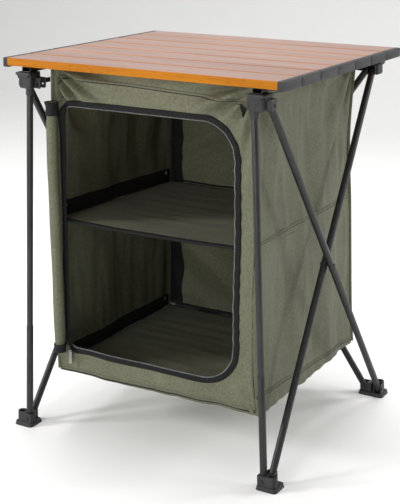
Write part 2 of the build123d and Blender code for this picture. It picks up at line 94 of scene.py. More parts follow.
# fold settings handed to the soft pieces: the axis, a point that stays and the share of width left
TO_LEFT = ((1, 0, 0), (-half_width, 0, 0), 0.093)
TO_BACK = ((0, 1, 0), (0, half_depth, 0), 0.048)
HELD = {
    "front": ("hub_front_left", TO_LEFT),
    "back": ("hub_back_left", TO_LEFT),
    "left": ("hub_back_left", TO_BACK),
    "right": ("hub_back_right", TO_BACK),
}


# ---- materials ----
def set_inputs(node, values):
    """Sets a node's unlinked sockets by name."""
    for socket, value in values.items():
        node.inputs[socket].default_value = value


class Finish:
    """A node material built in a few calls; every texture reads object or UV coordinates."""

    def __init__(self, name, roughness, metallic=0.0, specular=0.5, sheen=0.0, coat=0.0):
        self.material = bpy.data.materials.new(name)
        self.material.use_nodes = True
        self.tree = self.material.node_tree
        self.shader = self.tree.nodes["Principled BSDF"]
        set_inputs(self.shader, {"Roughness": roughness, "Metallic": metallic, "Coat Weight": coat})
        set_inputs(self.shader, {"Specular IOR Level": specular, "Sheen Weight": sheen})
        self.height = None

    def add(self, kind, values=None, **settings):
        node = self.tree.nodes.new(kind)
        for key, value in settings.items():
            setattr(node, key, value)
        set_inputs(node, values or {})
        return node

    def coordinates(self, stretch, uv=False):
        source = self.add("ShaderNodeTexCoord").outputs["UV" if uv else "Object"]
        mapping = self.add("ShaderNodeMapping", {"Scale": stretch})
        self.tree.links.new(source, mapping.inputs["Vector"])
        return mapping.outputs["Vector"]

    def noise(self, scale, detail=3.0, stretch=(1, 1, 1), uv=False, rough=0.55, twist=0.0):
        values = {"Scale": scale, "Detail": detail, "Roughness": rough, "Distortion": twist}
        texture = self.add("ShaderNodeTexNoise", values)
        self.tree.links.new(self.coordinates(stretch, uv), texture.inputs["Vector"])
        return texture.outputs["Fac"]

    def threads(self, pitch, along):
        """Ridges of yarn at a pitch in metres, across or along the cloth."""
        turn = 20  # radians in a metre at scale 1
        scale = 1 / pitch / turn * 2 * math.pi
        values = {"Scale": scale, "Distortion": 1.2, "Detail": 1.0, "Detail Scale": 1.5}
        texture = self.add("ShaderNodeTexWave", values, wave_type="BANDS", bands_direction="XY"[along])
        self.tree.links.new(self.coordinates((1, 1, 1), True), texture.inputs["Vector"])
        return texture.outputs["Fac"]

    def blend(self, factor, low, high, first=0.3, last=0.7):
        """A colour ramp over a texture."""
        ramp = self.add("ShaderNodeValToRGB")
        ramp.color_ramp.elements[0].position, ramp.color_ramp.elements[0].color = first, (*low, 1)
        ramp.color_ramp.elements[1].position, ramp.color_ramp.elements[1].color = last, (*high, 1)
        self.tree.links.new(factor, ramp.inputs["Fac"])
        return ramp.outputs["Color"]

    def mix(self, one, other, factor, mode="MIX"):
        node = self.add("ShaderNodeMix", data_type="RGBA", blend_type=mode)
        sockets = (node.inputs["Factor"], node.inputs[6], node.inputs[7])
        for socket, value in zip(sockets, (factor, one, other)):
            if isinstance(value, bpy.types.NodeSocket):
                self.tree.links.new(value, socket)
            else:
                socket.default_value = value
        return node.outputs[2]

    def colour(self, socket):
        self.tree.links.new(socket, self.shader.inputs["Base Color"])
        return self

    def rough(self, factor, low, high):
        scale = self.add("ShaderNodeMapRange", {"To Min": low, "To Max": high})
        self.tree.links.new(factor, scale.inputs["Value"])
        self.tree.links.new(scale.outputs["Result"], self.shader.inputs["Roughness"])
        return self

    def bump(self, factor, depth, strength=1.0):
        node = self.add("ShaderNodeBump", {"Strength": strength, "Distance": depth})
        self.tree.links.new(factor, node.inputs["Height"])
        if self.height:
            self.tree.links.new(self.height, node.inputs["Normal"])
        self.height = node.outputs["Normal"]
        self.tree.links.new(self.height, self.shader.inputs["Normal"])
        return self


def cloth_finish(name, dark, light, worn):
    """Coated woven polyester: two-tone yarn, soft mottling and slightly paler rubbed creases."""
    f = Finish(name, 0.68, specular=0.25, sheen=0.06)
    mottle = f.noise(9, 5, uv=True, rough=0.6)
    speckle = f.noise(240, 4, (1, 0.75, 1), True, 0.8)
    flecks = f.blend(speckle, (0.7, 0.7, 0.7), (1.32, 1.32, 1.3), 0.36, 0.64)
    base = f.mix(f.blend(mottle, dark, light, 0.32, 0.68), flecks, 0.8, "MULTIPLY")
    slub_across = f.noise(1, 3, (130, 1500, 1), True, 0.6)
    slub_up = f.noise(1, 3, (1500, 130, 1), True, 0.6)
    yarn = f.mix(slub_across, slub_up, 0.5)
    yarn_tone = f.blend(yarn, (0.72, 0.72, 0.7), (1.25, 1.25, 1.22), 0.36, 0.64)
    toned = f.mix(base, yarn_tone, 0.75, "MULTIPLY")
    rubbing = f.noise(38, 6, uv=True, rough=0.7, twist=0.6)
    rubbed = f.blend(rubbing, (0, 0, 0), (0.3, 0.3, 0.3), 0.56, 0.72)
    f.colour(f.mix(toned, (*worn, 1), rubbed))
    f.rough(mottle, 0.52, 0.74)
    f.bump(f.threads(0.0011, 0), 0.00012, 0.35).bump(f.threads(0.0011, 1), 0.00012, 0.35)
    f.bump(yarn, 0.0004, 0.6).bump(f.noise(70, 5, uv=True, rough=0.65, twist=0.8), 0.0016, 0.5)
    return f.material


def webbing_finish(name, dark, light):
    """Flat black webbing with a ribbed weave along its length."""
    f = Finish(name, 0.7, specular=0.2, sheen=0.03)
    f.colour(f.blend(f.noise(300, 4), dark, light))
    f.bump(f.threads(0.0016, 0), 0.0003, 0.7).bump(f.threads(0.0028, 1), 0.0003, 0.5)
    return f.material


def plastic_finish(name, dark, light, roughness):
    """Moulded plastic with a fine spark-eroded grain and paler rubbed spots."""
    f = Finish(name, roughness, specular=0.4)
    patches = f.noise(45, 5, rough=0.65)
    f.colour(f.blend(patches, dark, light, 0.35, 0.75))
    f.rough(f.noise(160, 4), roughness - 0.1, roughness + 0.12)
    f.bump(f.noise(1900, 2), 0.00012, 0.5).bump(f.noise(90, 3), 0.0003, 0.25)
    return f.material


def tube_finish(name):
    """Dark powder-coated steel: faint orange peel and streaks of wear along the tube."""
    f = Finish(name, 0.45, specular=0.34)
    streaks = f.noise(1, 5, (160, 160, 14), rough=0.7)
    f.colour(f.blend(streaks, (0.013, 0.0133, 0.0142), (0.028, 0.0285, 0.03), 0.38, 0.7))
    f.rough(f.noise(120, 4), 0.34, 0.5)
    f.bump(f.noise(850, 2), 0.00015, 0.35)
    return f.material


def wood_finish(name, dark, mid, light, roughness, coat, specular):
    """Wood grain drawn along X: broad tone, long fibres and short dark pores."""
    f = Finish(name, roughness, specular=specular, coat=coat)
    set_inputs(f.shader, {"Coat Roughness": 0.25})
    broad = f.noise(1, 4, (2.2, 26, 26), rough=0.55, twist=0.5)
    fibre = f.noise(1, 6, (9, 420, 420), rough=0.7, twist=0.3)
    pore = f.noise(1, 3, (60, 900, 900), rough=0.6)
    base = f.mix(f.blend(broad, dark, light, 0.3, 0.72), f.blend(fibre, dark, mid, 0.35, 0.7), 0.5)
    f.colour(f.mix(base, f.blend(pore, (0.45, 0.42, 0.4), (1, 1, 1), 0.3, 0.45), 0.7, "MULTIPLY"))
    f.rough(fibre, roughness - 0.06, roughness + 0.14)
    f.bump(fibre, 0.0003, 0.4).bump(pore, 0.0002, 0.4)
    return f.material


def metal_finish(name, colour, roughness):
    """Bare metal with fine turning scratches and dull patches."""
    f = Finish(name, roughness, metallic=1.0)
    patch = f.noise(140, 4)
    f.colour(f.blend(patch, tuple(0.75 * c for c in colour), colour))
    f.rough(f.noise(700, 3), roughness - 0.08, roughness + 0.15)
    f.bump(f.noise(1200, 2), 0.0001, 0.3)
    return f.material


olive = cloth_finish("olive_cloth", (0.1, 0.102, 0.067), (0.13, 0.133, 0.087), (0.18, 0.182, 0.128))
# seam_shade is painted shadow: a near-black finish for the shade in a seam's crease
seam_shade = plastic_finish("seam_shade", (0.008, 0.008, 0.006), (0.018, 0.018, 0.012), 0.8)
black_web = webbing_finish("black_webbing", (0.005, 0.005, 0.0055), (0.013, 0.013, 0.014))
zip_cloth = webbing_finish("zip_cloth", (0.002, 0.002, 0.0023), (0.006, 0.006, 0.0065))
black_plastic = plastic_finish("black_plastic", (0.012, 0.012, 0.0135), (0.028, 0.028, 0.03), 0.5)
# coil_highlight_plastic is painted highlight: light grey standing in for the glint along a black zip's coil
coil_highlight_plastic = plastic_finish("coil_highlight_plastic", (0.22, 0.22, 0.23), (0.42, 0.42, 0.43), 0.35)
pull_plastic = plastic_finish("pull_plastic", (0.2, 0.2, 0.19), (0.34, 0.34, 0.32), 0.35)
thread = plastic_finish("olive_thread", (0.03, 0.03, 0.018), (0.06, 0.06, 0.036), 0.6)
dark_thread = plastic_finish("dark_thread", (0.008, 0.008, 0.008), (0.02, 0.02, 0.02), 0.6)
tube_paint = tube_finish("tube_paint")
laminate_tones = (0.25, 0.15, 0.122), (0.34, 0.212, 0.178), (0.44, 0.29, 0.245)
laminate = wood_finish("slat_laminate", *laminate_tones, roughness=0.42, coat=0.15, specular=0.3)
edge_tones = (0.28, 0.085, 0.003), (0.47, 0.16, 0.005), (0.62, 0.235, 0.01)
edge_wood = wood_finish("edge_wood", *edge_tones, roughness=0.55, coat=0.0, specular=0.12)
steel = metal_finish("rivet_steel", (0.7, 0.7, 0.71), 0.3)
blackened = metal_finish("blackened_steel", (0.06, 0.06, 0.063), 0.4)
gunmetal = metal_finish("slider_metal", (0.1, 0.1, 0.105), 0.35)


# ---- mesh tools ----
def make_object(name, verts, faces, finish, uvs=None):
    """A mesh piece in the shared frame; uvs is one pair a vertex, in metres."""
    mesh = bpy.data.meshes.new(name)
    mesh.from_pydata([tuple(v) for v in verts], [], faces)
    mesh.update()
    if uvs is not None:
        layer = mesh.uv_layers.new(name="cloth")
        for loop in mesh.loops:
            layer.data[loop.index].uv = uvs[loop.vertex_index]
    mesh.materials.append(finish)
    mesh.shade_smooth()
    piece = bpy.data.objects.new(name, mesh)
    bpy.context.scene.collection.objects.link(piece)
    return piece


def apply_modifiers(piece):
    """Bakes a piece's modifiers into its mesh."""
    graph = bpy.context.evaluated_depsgraph_get()
    mesh = bpy.data.meshes.new_from_object(piece.evaluated_get(graph))
    piece.modifiers.clear()
    piece.data = mesh
    return piece


def thicken(piece, thickness, offset=-1.0):
    """Gives a sheet its thickness."""
    solid = piece.modifiers.new("thickness", "SOLIDIFY")
    solid.thickness, solid.offset, solid.use_even_offset = thickness, offset, True
    return apply_modifiers(piece)


def grid_faces(columns, rows, wrap=False):
    """Quads of a grid stored row by row; wrap joins the last column to the first."""
    faces = []
    for row in range(rows - 1):
        for column in range(columns if wrap else columns - 1):
            following = (column + 1) % columns
            a, b = row * columns + column, row * columns + following
            faces.append((a, b, b + columns, a + columns))
    return faces


def tube_mesh(points, radius, sides):
    """Vertices and faces of a capped tube along points."""
    before, after = [points[0]] + points, points[1:] + [points[-1]]
    tangents = [(end - start).normalized() for start, end in zip(before, after)]
    across = tangents[0].orthogonal().normalized()
    verts = []
    for point, tangent in zip(points, tangents):
        across = (across - tangent * across.dot(tangent)).normalized()
        other = tangent.cross(across)
        for k in range(sides):
            angle = 2 * math.pi * k / sides
            verts.append(point + (across * math.cos(angle) + other * math.sin(angle)) * radius)
    faces = grid_faces(sides, len(points), wrap=True)
    faces += [tuple(reversed(range(sides))), tuple(range(len(verts) - sides, len(verts)))]
    return verts, faces


def merge_parts(parts):
    """Joins several (verts, faces) into one."""
    verts, faces = [], []
    for part_verts, part_faces in parts:
        base = len(verts)
        verts += part_verts
        faces += [tuple(base + i for i in face) for face in part_faces]
    return verts, faces


def refined(node, finishes, bevel):
    """A copy of a rigid CAD node with its triangles merged and its sharp edges softened."""
    source = frame["nodes"][node]
    mesh = source.data.copy()
    work = bmesh.new()
    work.from_mesh(mesh)
    bmesh.ops.remove_doubles(work, verts=work.verts, dist=1e-6)
    bmesh.ops.dissolve_limit(work, angle_limit=math.radians(1), verts=work.verts, edges=work.edges)
    work.to_mesh(mesh)
    work.free()
    mesh.materials.clear()
    for material in finishes:
        mesh.materials.append(material)
    piece = bpy.data.objects.new(node + "_dressed", mesh)
    bpy.context.scene.collection.objects.link(piece)
    edge = piece.modifiers.new("edge", "BEVEL")
    edge.width, edge.segments = bevel, 2
    edge.limit_method, edge.angle_limit = "ANGLE", math.radians(35)
    apply_modifiers(piece)
    piece.data.shade_smooth()
    piece.data.set_sharp_from_angle(angle=math.radians(32))
    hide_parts(node)
    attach(piece, body_of(node))
    return piece


def body_of(node):
    """The CAD body that holds a node."""
    bodies = frame["record"]["behaviour"]["bodies"]
    return next(name for name, nodes in bodies.items() if node in nodes)


def slot_of(node):
    """The material slot of a CAD node."""
    return next(s["material_slot"] for s in frame["record"]["subparts"] if s["node"] == node)


# ---- how the cloth hangs ----
def field(x, y, z):
    """A smooth random height between about -1 and 1."""
    return noise.noise(Vector((x, y, z)))


def crease(point, scale, seed):
    """Ridged noise: soft fields that meet in narrow creases, from 0 to 1."""
    return 1 - abs(noise.noise(Vector(point) * scale + Vector((seed, 2.7 * seed, 0)))) * 2


def corner_folds(across, up, corner, reach, count, turn):
    """Tension folds that fan out from a hung corner; across and up are measured on the wall."""
    dx, dy = across - corner[0], up - corner[1]
    distance = math.hypot(dx, dy)
    angle = math.atan2(dy, dx)
    wave = math.sin(angle * count + turn + 2.5 * field(dx * 9, dy * 9, turn))
    sharp = math.copysign(abs(wave) ** 0.7, wave)
    return sharp * distance * math.exp(-((distance / reach) ** 1.5)) / reach * 2.2


def waves(across, up, seed, lean=0.0):
    """Long soft folds that run up the cloth, leaning a little, with finer creases between them."""
    place = across + lean * up
    broad = 0.0052 * field(place * 6.5 + seed, up * 1.5, seed)
    middle = 0.0026 * field(place * 17, up * 2.6, seed + 5)
    fine = 0.0009 * field(place * 46, up * 9, seed + 9)
    ridge = 0.0022 * (crease((place * 1.6, up * 0.5, 0), 8, seed) - 0.6)
    return broad + middle + fine + ridge


def front_depth(across, up):
    """The front panel: held by its door tape, dragged at its corners and puckered along the tape."""
    top = cabinet_top - cabinet_bottom + 0.004
    crumple = 0.0007 * field(across * 40, up * 40, 1)
    slack = 0.0014 * field(across * 13, up * 13, 2)
    depth = crumple + slack
    reach, top_pull, hem_pull = 0.075, 0.013, 0.0055
    for side in (LEFT, RIGHT):
        x = side * half_width
        depth += top_pull * corner_folds(across, up, (x, top), reach, 17, 1.7 + side)
        depth += hem_pull * corner_folds(across, up, (x, -0.002), reach, 9, 0.6 + side)
    beside_door = abs(across - door_right - 0.02) < 0.04
    pucker = 0.0013 * math.sin(up * 190 + 5 * field(across * 20, up * 12, 3)) if beside_door else 0.0
    below_door = 0.0075 * field(across * 24, up * 7, 6) * math.exp(-((up / 0.06) ** 2))
    z = up + cabinet_bottom
    past_tape = max(abs(across) - door_right - 0.004, z - door_top, door_bottom - z)
    free = max(min(1.0, past_tape / 0.02), 0.1)
    return (depth + below_door) * free + pucker


def side_depth(across, up, seed):
    """A side panel: long upright folds, with tension folds at its top corners and a puckered hem."""
    top = cabinet_top - cabinet_bottom
    folds = 0.0
    for end in (FRONT, BACK):
        folds += 0.0036 * corner_folds(across, up, (end * half_depth, top), 0.1, 9, seed + end)
    hem = 0.0009 * math.sin(across * 150 + 5 * field(across * 9, up, seed)) * math.exp(-up / 0.03)
    return waves(across, up, seed, 0.1 * field(across * 2, up, seed)) + folds + hem


def back_depth(across, up):
    """The back panel sags in long slanting wrinkles."""
    slant = 0.62 if up > shelf_high.z - cabinet_bottom else -0.7
    long_way = across * slant + up
    short_way = across - slant * up
    wrinkle = 0.0052 * field(long_way * 15, short_way * 3.5, 21)
    crumple = 0.0026 * (crease((long_way, short_way * 0.3, 2), 14, 4.0) - 0.6)
    return 2.6 * (wrinkle + crumple) + 0.6 * waves(across, up, 4.0)


def wall_depth(wall, across, up, half_span):
    """How far a wall stands out from its flat place at a point, in metres."""
    edge_reach, level_reach, level_hold = 0.025, 0.03, 0.55
    hold = min(1.0, max(0.0, (half_span - abs(across)) / edge_reach))
    for level in (shelf_high.z, floor_high.z):
        hold *= 1 - level_hold * math.exp(-(((up + cabinet_bottom - level) / level_reach) ** 2))
    if wall == "front":
        return front_depth(across, up) * max(hold, 0.3)
    if wall == "back":
        return back_depth(across, up) * hold
    strength, seed = (2.5, 2.0) if wall == "left" else (1.9, 3.4)
    return strength * side_depth(across, up, seed) * max(hold, 0.12)


def corner_slip(side, end, low):
    """How far an upright edge leans out (+) or in (-), where low runs from its top (0) to its bottom (1)."""
    waist = math.exp(-(((low - 0.24) / 0.2) ** 2))
    if side == RIGHT and end == BACK:
        return -0.0035 - 0.0085 * waist + 0.0165 * low ** 3.5
    if side == RIGHT:
        return 0.004 * math.exp(-(((low - 0.45) / 0.25) ** 2)) + 0.017 * low ** 9
    if end == FRONT:
        return -0.0085 * (1 - low) ** 3 - 0.0025 * low ** 4
    return -0.006 * waist + 0.006 * low ** 4


def shell_shift(point):
    """The whole cabinet's slack: its edges lean, its waist wanders and its hem sags unevenly."""
    x, y, z = point
    low = min(1.0, max(0.0, (cabinet_top - z) / (cabinet_top - cabinet_bottom)))
    wander = 0.003 * math.sin(math.pi * min(1.0, low * 1.02))
    shift = Vector((field(x * 3, y * 3, z * 6), field(x * 3 + 9, y * 3, z * 6), 0)) * wander
    side = RIGHT if x > 0 else LEFT
    share = 0.5 + 0.5 * max(-1.0, min(1.0, y / half_depth))
    slip = corner_slip(side, FRONT, low) * (1 - share) + corner_slip(side, BACK, low) * share
    belly = 0.004 * low ** 4 * math.sin(math.pi * share)
    shift.x += side * (slip + belly) * min(1.0, abs(x) / half_width) ** 6
    if y > 0:
        shift.y += 0.6 * min(slip, 0.004) * min(1.0, y / half_depth) ** 6 * (abs(x) / half_width) ** 2
    shift.z += 0.004 * low ** 6 * (field(x * 9, y * 9, 4) - 0.4)
    return shift


def wall_size(wall):
    """How far a wall stands from the middle of the cabinet, and half of its width."""
    return (half_depth, half_width) if wall in ("front", "back") else (half_width, half_depth)


def hung(point, wall, lift=0.0):
    """Where a point of a wall hangs, raised along the wall's outward direction."""
    outward = OUTWARD[wall]
    distance, half_span = wall_size(wall)
    flat = Vector(point)
    flat += outward * (distance - wall_inset - flat.dot(outward))
    across, up = flat.dot(UP.cross(outward)), flat.z - cabinet_bottom
    return flat + outward * (wall_depth(wall, across, up, half_span) + lift) + shell_shift(flat)


def hang(piece, wall):
    """Moves a wall's flat vertices to where the slack cloth hangs."""
    for vertex in piece.data.vertices:
        vertex.co = hung(vertex.co, wall)
    piece.data.update()


def surface_of(piece):
    """A search tree over a piece's mesh, for laying other pieces on it."""
    return BVHTree.FromObject(piece, bpy.context.evaluated_depsgraph_get())


def height_on(tree, point):
    """The height of a surface straight above or below a point, or of its nearest place."""
    search = 0.06
    hit = tree.ray_cast(point + UP * search, -UP, 2 * search)[0]
    if hit is None:
        hit = tree.find_nearest(point)[0]
    return hit.z


# ---- cloth walls ----
def corner_of_door(side, up):
    """The centre and the radius of one of the door's rounded corners."""
    radius = door_corner[side]
    x = door_right - radius if side == RIGHT else door_left + radius
    z = door_top - radius if up > 0 else door_bottom + radius
    return x, z, radius


def door_ring():
    """Points round the door with their outward directions, counter-clockwise seen from the front."""
    arc_points, points_per_metre = 13, 208
    ring = []
    corners = [(RIGHT, -1, -90), (RIGHT, 1, 0), (LEFT, 1, 90), (LEFT, -1, 180)]
    for index, (side, up, start) in enumerate(corners):
        centre_x, centre_z, radius = corner_of_door(side, up)
        far_z = cabinet_top if up > 0 else cabinet_bottom
        aim = math.degrees(math.atan2(far_z - centre_z, side * half_width - centre_x)) % 360
        first, last = start % 360, start % 360 + 90
        aim = aim if aim >= first else aim + 360
        angles = list(np.linspace(first, aim, arc_points)) + list(np.linspace(aim, last, arc_points))[1:]
        for angle in angles:
            direction = (math.cos(math.radians(angle)), math.sin(math.radians(angle)))
            ring.append((centre_x + radius * direction[0], centre_z + radius * direction[1], *direction))
        next_x, next_z, next_radius = corner_of_door(*corners[(index + 1) % 4][:2])
        x0, z0, dx, dz = ring[-1]
        x1, z1 = next_x + next_radius * dx, next_z + next_radius * dz
        steps = max(3, round(math.hypot(x1 - x0, z1 - z0) * points_per_metre))
        for step in range(1, steps):
            share = step / steps
            ring.append((x0 + (x1 - x0) * share, z0 + (z1 - z0) * share, dx, dz))
    return ring


def edge_distance(x, z, dx, dz):
    """How far the wall's edge is from a point in a direction."""
    reach = []
    if abs(dx) > 1e-6:
        reach.append(((half_width if dx > 0 else -half_width) - x) / dx)
    if abs(dz) > 1e-6:
        reach.append(((cabinet_top if dz > 0 else cabinet_bottom) - z) / dz)
    return min(reach)


def make_front_wall():
    """The front wall as rings of cloth from the door's edge out to the panel's edge."""
    ring = door_ring()
    rows = 19
    y = -half_depth + wall_inset
    verts, uvs = [], []
    for row in reversed(range(rows)):
        share = row / (rows - 1)
        for x, z, dx, dz in ring:
            reach = edge_distance(x, z, dx, dz) * share
            verts.append(Vector((x + dx * reach, y, z + dz * reach)))
            uvs.append((x + dx * reach, z + dz * reach))
    piece = make_object("front_cloth", verts, grid_faces(len(ring), rows, wrap=True), olive, uvs)
    hang(piece, "front")
    return piece


def make_flat_wall(wall):
    """A side or back wall as a fine grid of cloth."""
    outward = OUTWARD[wall]
    along = UP.cross(outward)
    distance, half_span = wall_size(wall)
    columns, rows = 111, 155
    verts, uvs = [], []
    for row in range(rows):
        up = cabinet_bottom + (cabinet_top - cabinet_bottom) * row / (rows - 1)
        for column in range(columns):
            across = 2 * (half_span - wall_inset) * (column / (columns - 1) - 0.5)
            verts.append(outward * (distance - wall_inset) + along * across + UP * up)
            uvs.append((across, up))
    piece = make_object(wall + "_cloth", verts, grid_faces(columns, rows), olive, uvs)
    hang(piece, wall)
    return piece


def finish_wall(wall, piece):
    """Thickens a wall and sets it on its body."""
    body, fold = HELD[wall]
    thicken(piece, cloth_thickness)
    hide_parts(f"{wall}_wall")
    settle(piece, "olive_cloth", body, fold)


def settle(piece, slot, body, fold):
    """Sets a soft piece on its body and gives it a mesh of its own; its slot and fold are not used."""
    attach(piece, body)
    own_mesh(piece)


def strip_on(name, wall, route, width, finish, lift=0.0006, thickness=tape_thickness):
    """A band of cloth or tape laid on a wall along a route; a negative lift puts it inside."""
    outward = OUTWARD[wall]
    points = resample([Vector(p) for p in route], band_step)
    base = 0.0 if lift > 0 else -cloth_thickness
    verts, uvs, travelled = [], [], 0.0
    for i, point in enumerate(points):
        ahead = points[min(i + 1, len(points) - 1)] - points[max(i - 1, 0)]
        across = ahead.normalized().cross(outward)
        travelled += (point - points[i - 1]).length if i else 0.0
        for share in (-0.5, -0.46, 0.0, 0.46, 0.5):
            crown = lift * (0.4 if abs(share) == 0.5 else 1.0)
            verts.append(hung(point + across * (width * share), wall, base + crown))
            uvs.append((width * share, travelled))
    piece = make_object(name, verts, grid_faces(5, len(points)), finish, uvs)
    return thicken(piece, thickness, 0.0)


def resample(points, step):
    """Points at an even step along a line through the given ones."""
    result = []
    for start, end in zip(points, points[1:]):
        parts = max(1, round((end - start).length / step))
        result += [start + (end - start) * (k / parts) for k in range(parts)]
    return result + [points[-1]]


def stitches_on(name, wall, route, finish, lift):
    """A row of short threads laid on a wall along a route; a negative lift puts them inside."""
    outward = OUTWARD[wall] * (1 if lift > 0 else -1)
    points = resample([Vector(p) for p in route], stitch_pitch)
    base = 0.0 if lift > 0 else -cloth_thickness
    parts = []
    for start, end in zip(points, points[1:]):
        middle = hung((start + end) / 2, wall, base + lift)
        direction = (hung(end, wall) - hung(start, wall)).normalized()
        side = direction.cross(outward).normalized() * thread_radius
        half = direction * (stitch_length / 2)
        out = outward * thread_radius
        tips = [middle - half - out, middle + half - out]
        belt = [middle + side, middle + out, middle - side, middle - out]
        faces = []
        for k in range(4):
            faces += [(0, 2 + (k + 1) % 4, 2 + k), (1, 2 + k, 2 + (k + 1) % 4)]
        parts.append((tips + belt, faces))
    verts, faces = merge_parts(parts)
    return make_object(name, verts, faces, finish)


# ---- zip, seams and bands ----
def zip_line():
    """Even flat places round the door, each with its outward direction in the wall."""
    flat = [(Vector((x, -half_depth, z)), Vector((dx, 0, dz))) for x, z, dx, dz in door_ring()]
    flat.append(flat[0])
    line, step = [], 0.004
    for (p0, n0), (p1, n1) in zip(flat, flat[1:]):
        parts = max(1, round((p1 - p0).length / step))
        for k in range(parts):
            line.append((p0.lerp(p1, k / parts), n0.lerp(n1, k / parts).normalized()))
    return line


def make_zip():
    """Black tape round the doorway, its coil along the inner edge and two rows of stitches."""
    line = zip_line()
    steps = (-0.0016, -0.0010, 0.0, 0.003, 0.0058, 0.0088, 0.0094)
    lifts = (0.0004, 0.0011, 0.0013, 0.0014, 0.0014, 0.0012, 0.0002)
    verts, uvs = [], []
    for step, lift in zip(steps, lifts):
        travelled = 0.0
        for i, (base, outward) in enumerate(line):
            travelled += (base - line[i - 1][0]).length if i else 0.0
            verts.append(hung(base + outward * step, "front", lift))
            uvs.append((step, travelled))
    faces = grid_faces(len(line), len(steps), wrap=True)
    tape = make_object("zip_tape_cloth", verts, faces, zip_cloth, uvs)
    thicken(tape, tape_thickness, 0.0)
    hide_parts("zip_tape")
    settle(tape, "zip_black", *HELD["front"])
    # the coil's light grey is a painted highlight along the black zip
    coil = make_object("zip_coil", *coil_mesh(line), coil_highlight_plastic)
    settle(coil, "zip_black", *HELD["front"])
    for row, offset in (("inner", 0.0036), ("outer", 0.0082)):
        route = [base + outward * offset for base, outward in line + line[:1]]
        sewn = stitches_on(f"zip_stitches_{row}", "front", route, dark_thread, 0.002)
        settle(sewn, "zip_black", *HELD["front"])


def coil_mesh(line):
    """The zip's coil as one spring, from the door's lower left round to its upper left."""
    inset, lift, turn_points = 0.0022, 0.0008, 7
    coil_width, coil_height, wire_radius, wire_step = 0.0012, 0.0010, 0.00042, 0.00028
    path = [hung(base - outward * inset, "front") for base, outward in line if base.x > door_left + 0.004]
    start = max(range(len(path)), key=lambda i: (path[i] - path[i - 1]).length)
    path = path[start:] + path[:start]
    spring, turn = [], 0
    for p0, p1 in zip(path, path[1:]):
        side = (p1 - p0).normalized().cross(OUTWARD["front"]).normalized()
        parts = max(1, round((p1 - p0).length / wire_step))
        for k in range(parts):
            angle = turn * 2 * math.pi / turn_points
            turn += 1
            ring = side * math.cos(angle) * coil_width + OUTWARD["front"] * math.sin(angle) * coil_height
            spring.append(p0.lerp(p1, k / parts) + ring + OUTWARD["front"] * lift)
    return tube_mesh(spring, wire_radius, 3)


def make_seam(name, wall, route, shade_strip_width=0.0018, rows=2):
    """A felled seam: a narrow raised band of the same cloth beside a near-black strip of painted shadow for
    its crease, with its stitches.
    """
    up = (Vector(route[-1]) - Vector(route[0])).normalized().cross(OUTWARD[wall])
    beside = [Vector(p) + up * (seam_width + shade_strip_width) / 2 for p in route]
    # the second strip is painted shadow: a near-black sheet laid where the seam's crease is in shade
    pieces = [
        strip_on(name, wall, route, seam_width, olive),
        strip_on(f"{name}_groove_shade", wall, beside, shade_strip_width, seam_shade, lift=0.0004, thickness=0.0004),
    ]
    for number, share in enumerate((-0.32, 0.32) if rows == 2 else (0.0,)):
        shifted = [Vector(p) + up * (seam_width * share) for p in route]
        pieces.append(stitches_on(f"{name}_stitches_{number + 1}", wall, shifted, thread, 0.0012))
    for piece in pieces:
        settle(piece, "olive_cloth", *HELD[wall])


def dome(centre, normal, radius, height):
    """A rivet head with a rim."""
    normal = normal.normalized()
    across = normal.orthogonal().normalized()
    other = normal.cross(across)
    rings = ((1.0, 0.0), (1.0, 0.25), (0.86, 0.42), (0.8, 0.4), (0.62, 0.82), (0.3, 0.98))
    sides = 20
    verts = []
    for wide, tall in rings:
        for k in range(sides):
            angle = 2 * math.pi * k / sides
            spoke = across * math.cos(angle) + other * math.sin(angle)
            verts.append(centre + spoke * radius * wide + normal * height * tall)
    faces = grid_faces(sides, len(rings), wrap=True)
    verts.append(centre + normal * height)
    last = (len(rings) - 1) * sides
    faces += [(last + k, last + (k + 1) % sides, len(verts) - 1) for k in range(sides)]
    return verts, faces


def make_side_bands(side):
    """The webbing bands inside a side wall, at shelf and floor, with a rivet near each end."""
    wall = side_name[side]
    reach = half_depth - 0.018
    rivet_reach = reach - 0.012
    rivet_radius, rivet_height = 0.0052, 0.0026
    for level, low in (("floor", floor_high.z), ("shelf", shelf_high.z)):
        middle = low + webbing_width / 2 + 0.0005

        def along(y, up=0.0):
            return Vector((side * half_width, y, middle + up + tilt(level, y)))

        name = f"{wall}_{level}_band"
        ends = [along(-reach), along(reach)]
        band = strip_on(name, wall, ends, webbing_width, black_web, webbing_lift, webbing_thickness)
        heads = []
        for y in (-rivet_reach, rivet_reach):
            place = hung(along(y, 0.006), wall, -0.0036)
            heads.append(dome(place, -OUTWARD[wall], rivet_radius, rivet_height))
        rivets = make_object(f"{name}_rivets", *merge_parts(heads), steel)
        pieces = [(band, "black_webbing"), (rivets, "rivet_steel")]
        for label, up in (("low", -0.0125), ("high", 0.0125)):
            route = [along(-reach, up), along(reach, up)]
            sewn = stitches_on(f"{name}_stitches_{label}", wall, route, dark_thread, -0.002)
            pieces.append((sewn, "black_webbing"))
        if level == "shelf":
            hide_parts(f"{wall}_webbing")
        for piece, slot in pieces:
            settle(piece, slot, *HELD[wall])


